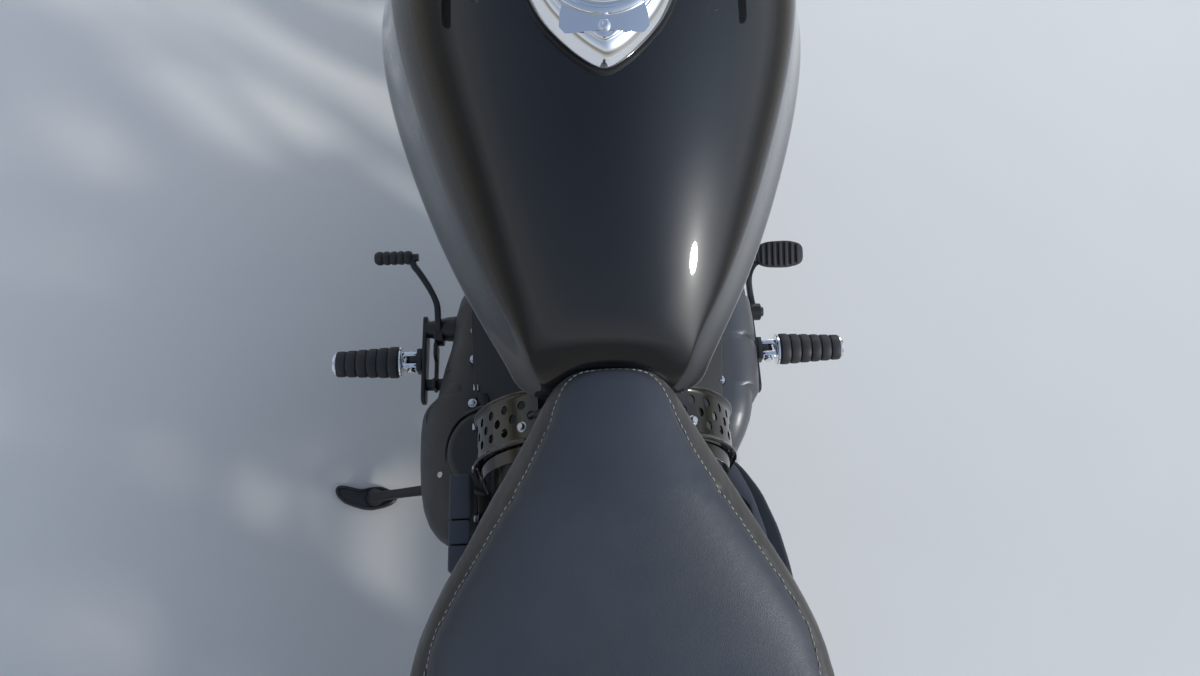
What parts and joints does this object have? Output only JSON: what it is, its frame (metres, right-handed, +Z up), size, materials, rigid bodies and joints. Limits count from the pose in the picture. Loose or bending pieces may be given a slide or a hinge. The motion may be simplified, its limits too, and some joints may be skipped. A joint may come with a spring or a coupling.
{
  "type": "cruiser motorcycle",
  "caption": "Two-wheeled cruiser with a V engine, teardrop tank with metal console, low leather saddle and side stand, leaning as it parks.",
  "frame": {"origin": "on the ground, at the middle of the footprint of the parked machine", "axes": "+X forward along the machine, +Y to the rider's left, +Z up; the machine leans 10 degrees towards +Y on its side stand"},
  "size_m": [2.3109, 0.911, 1.2812],
  "materials": {
    "gloss_black": "deep black gloss paint",
    "frame_black": "satin black powder coat",
    "chrome": "polished chrome plate",
    "engine_black": "matt black engine paint",
    "engine_grey": "dark grey satin engine paint",
    "cast_black": "satin black cast aluminium",
    "slider_black": "black painted aluminium",
    "steel": "bright steel",
    "tyre_rubber": "road tyre rubber",
    "peg_rubber": "moulded black rubber",
    "saddle_leather": "black grained leather",
    "lamp_red": "red lamp lens"
  },
  "bodies": {
    "chassis": {"battery_box": "frame_black", "brake_pedal": "steel", "console": "chrome", "crankcase": "engine_black", "cylinder_heads": "engine_black", "cylinders": "engine_black", "drive_belt": "peg_rubber", "electrics_box": "frame_black", "exhaust_headers": "chrome", "frame": "frame_black", "front_pulley": "cast_black", "fuel_cap": "chrome", "fuel_tank": "gloss_black", "intake": "cast_black", "left_cover": "engine_black", "muffler": "chrome", "peg_mounts": "steel", "perforated_covers": "engine_black", "pillion_pad": "saddle_leather", "plate_bracket": "frame_black", "rear_axle": "steel", "rear_caliper": "slider_black", "rear_fender": "gloss_black", "rear_shocks": "steel", "rider_seat": "saddle_leather", "right_cover": "engine_grey", "shift_lever": "steel", "side_cover": "gloss_black", "speedometer": "chrome", "swingarm": "frame_black", "tail_lamp": "lamp_red"},
    "steering": {"front_axle": "steel", "front_fender": "gloss_black", "fork_sliders": "slider_black", "fork_tubes": "chrome", "fork_clamps": "frame_black", "handlebar": "chrome", "grips": "peg_rubber", "control_levers": "steel", "mirrors": "gloss_black", "headlight": "chrome", "front_indicators": "frame_black", "front_caliper": "slider_black"},
    "front_wheel_set": {"front_tyre": "tyre_rubber", "front_wheel": "cast_black", "front_disc": "steel"},
    "rear_wheel_set": {"rear_tyre": "tyre_rubber", "rear_wheel": "cast_black", "rear_disc": "steel", "rear_pulley": "cast_black"},
    "stand": {"side_stand": "frame_black"},
    "left_peg": {"foot_peg_left": "peg_rubber"},
    "right_peg": {"foot_peg_right": "peg_rubber"}
  },
  "joints": [
    {"name": "steering", "type": "hinge", "parent": "chassis", "child": "steering", "pos_m": [0.50092, -0.0416, 0.74342], "axis": [-0.515, 0.1488, 0.8441], "range_deg": [-38, 38]},
    {"name": "front_wheel_spin", "type": "hinge", "parent": "steering", "child": "front_wheel_set", "pos_m": [0.8245, -0.11521, 0.32597], "axis": [0, 0.9848, -0.1736], "continuous": true},
    {"name": "rear_wheel_spin", "type": "hinge", "parent": "chassis", "child": "rear_wheel_set", "pos_m": [-0.7555, -0.1166, 0.31809], "axis": [0, 0.9848, -0.1736], "continuous": true},
    {"name": "side_stand", "type": "hinge", "parent": "chassis", "child": "stand", "pos_m": [-0.0985, -0.00877, 0.12341], "axis": [-0.0599, 0.5019, 0.8629], "range_deg": [0, 78]},
    {"name": "left_peg_fold", "type": "hinge", "parent": "chassis", "child": "left_peg", "pos_m": [0.0215, 0.12097, 0.28331], "axis": [1, 0, 0], "range_deg": [0, 60]},
    {"name": "right_peg_fold", "type": "hinge", "parent": "chassis", "child": "right_peg", "pos_m": [0.0215, -0.35174, 0.36666], "axis": [-1, 0, 0], "range_deg": [0, 60]}
  ]
}
